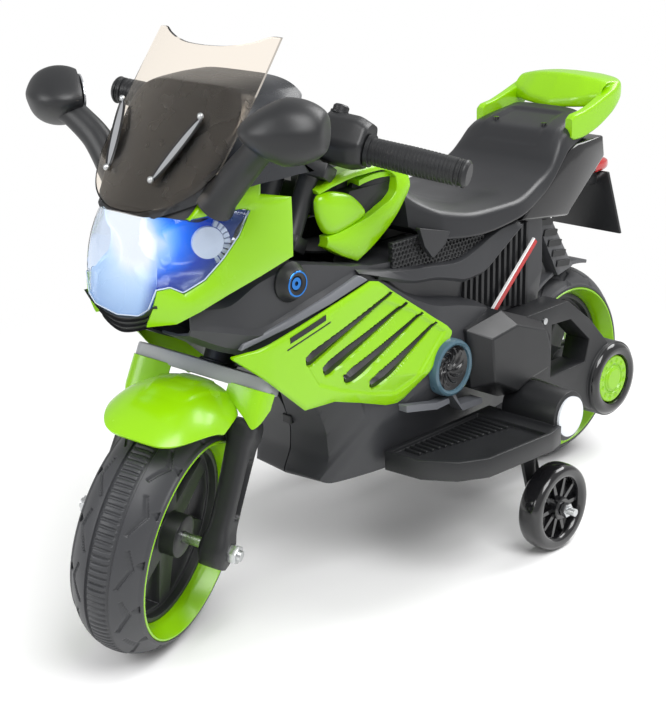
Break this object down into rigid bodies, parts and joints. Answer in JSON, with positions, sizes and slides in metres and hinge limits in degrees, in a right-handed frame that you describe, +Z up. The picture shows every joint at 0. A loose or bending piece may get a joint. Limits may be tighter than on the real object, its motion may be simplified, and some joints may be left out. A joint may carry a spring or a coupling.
{
  "type": "ride-on electric motorbike",
  "caption": "Battery ride-on motorbike for small children, with a faired front, steering fork, geared rear wheel, footrests and side training wheels.",
  "frame": {"origin": "on the ground, midway along the length and between the training wheels", "axes": "+X forward, +Y to the rider's left, +Z up"},
  "size_m": [0.8219, 0.378, 0.548],
  "materials": {
    "lime_plastic": "glossy moulded lime green plastic",
    "black_plastic": "fine grained moulded black plastic",
    "seat_plastic": "leather-grained satin moulded plastic",
    "gloss_black_plastic": "polished black plastic",
    "grip_plastic": "ribbed black plastic",
    "tyre_plastic": "hard moulded plastic tread, satin",
    "clear_lens": "clear moulded lens with a blue cast",
    "smoke_screen": "clear thermoformed sheet with a smoke lower part",
    "reflector_silver": "bright silver finish on plastic",
    "mirror_film": "mirror film",
    "red_lamp": "red moulded plastic",
    "zinc_steel": "zinc plated steel",
    "painted_steel": "black powder coat",
    "battery_case": "plain moulded case",
    "circuit_board": "solder mask",
    "wire_jacket": "soft insulation"
  },
  "bodies": {
    "chassis": {"axle_caps": "lime_plastic", "battery": "battery_case", "body_left": "black_plastic", "body_right": "black_plastic", "body_screws": "zinc_steel", "charge_socket": "black_plastic", "chin_cover": "black_plastic", "control_board": "circuit_board", "dash_hood": "black_plastic", "dash_panel": "black_plastic", "footrest_discs": "reflector_silver", "footrest_left": "black_plastic", "footrest_right": "black_plastic", "front_cowl": "lime_plastic", "gearbox_case": "black_plastic", "headlight_leds": "reflector_silver", "headlight_lens": "clear_lens", "headlight_reflectors": "reflector_silver", "loudspeaker": "black_plastic", "mirror_glasses": "mirror_film", "mirrors": "black_plastic", "motor": "zinc_steel", "motor_covers": "black_plastic", "number_plate": "black_plastic", "rear_axle": "zinc_steel", "rear_mudguard": "black_plastic", "round_vents": "black_plastic", "seat": "seat_plastic", "side_panel_left": "lime_plastic", "side_panel_right": "lime_plastic", "steering_bushes": "black_plastic", "swingarms": "black_plastic", "tail_cover": "gloss_black_plastic", "tail_handle": "lime_plastic", "tail_light": "red_lamp", "tank_cover": "lime_plastic", "training_bolts": "zinc_steel", "training_struts": "painted_steel", "windshield": "smoke_screen", "wiring": "wire_jacket"},
    "fork": {"steering_stem": "black_plastic", "fork_legs": "black_plastic", "front_fender": "lime_plastic", "front_axle": "zinc_steel", "handlebar": "painted_steel", "grips": "grip_plastic", "switch_boxes": "black_plastic"},
    "front_wheel": {"front_tyre": "tyre_plastic", "front_rim": "lime_plastic", "front_spokes": "black_plastic"},
    "rear_wheel": {"rear_tyre": "tyre_plastic", "rear_rim": "lime_plastic", "rear_spokes": "black_plastic"},
    "idler": {"idler_gear": "black_plastic"},
    "pinion": {"motor_pinion": "black_plastic"},
    "training_wheel_left": {"training_wheel_left": "black_plastic"},
    "training_wheel_right": {"training_wheel_right": "black_plastic"},
    "pedal": {"accelerator_pedal": "black_plastic"},
    "rocker": {"drive_switch": "black_plastic"},
    "horn": {"horn_button": "red_lamp"}
  },
  "joints": [
    {"name": "steer", "type": "hinge", "parent": "chassis", "child": "fork", "pos_m": [0.28218, 0, 0.10496], "axis": [-0.4329, 0, 0.9015], "range_deg": [-53.3, 6.7]},
    {"name": "front_wheel_spin", "type": "hinge", "parent": "fork", "child": "front_wheel", "pos_m": [0.30081, 0.0089, 0.1139], "axis": [-0.3566, 0.9184, -0.1712], "continuous": true},
    {"name": "rear_wheel_spin", "type": "hinge", "parent": "chassis", "child": "rear_wheel", "pos_m": [-0.29604, 0, 0.115], "axis": [0, 1, 0], "continuous": true},
    {"name": "idler_spin", "type": "hinge", "parent": "chassis", "child": "idler", "pos_m": [-0.24659, 0, 0.14626], "axis": [0, 1, 0], "continuous": true},
    {"name": "pinion_spin", "type": "hinge", "parent": "chassis", "child": "pinion", "pos_m": [-0.20095, 0, 0.17511], "axis": [0, 1, 0], "continuous": true},
    {"name": "training_spin_left", "type": "hinge", "parent": "chassis", "child": "training_wheel_left", "pos_m": [-0.09504, 0.161, 0.046], "axis": [0, 1, 0], "continuous": true},
    {"name": "training_spin_right", "type": "hinge", "parent": "chassis", "child": "training_wheel_right", "pos_m": [-0.09504, -0.161, 0.046], "axis": [0, 1, 0], "continuous": true},
    {"name": "pedal_press", "type": "hinge", "parent": "chassis", "child": "pedal", "pos_m": [0.00646, -0.112, 0.1415], "axis": [0, 1, 0], "range_deg": [0, 5], "stiffness_Nm_per_rad": 3, "springref_deg": -1.72},
    {"name": "rocker_tilt", "type": "hinge", "parent": "chassis", "child": "rocker", "pos_m": [0.04646, 0, 0.405], "axis": [0, 1, 0], "range_deg": [-9, 9]},
    {"name": "horn_press", "type": "slide", "parent": "fork", "child": "horn", "axis": [0.8279, 0.3955, 0.3976], "range_m": [0, 0.0025], "stiffness_N_per_m": 400, "springref_m": -0.0008}
  ],
  "couplings": [
    {"joint": "idler_spin", "follows": "rear_wheel_spin", "ratio": -3.3333},
    {"joint": "pinion_spin", "follows": "rear_wheel_spin", "ratio": 6.6667}
  ]
}
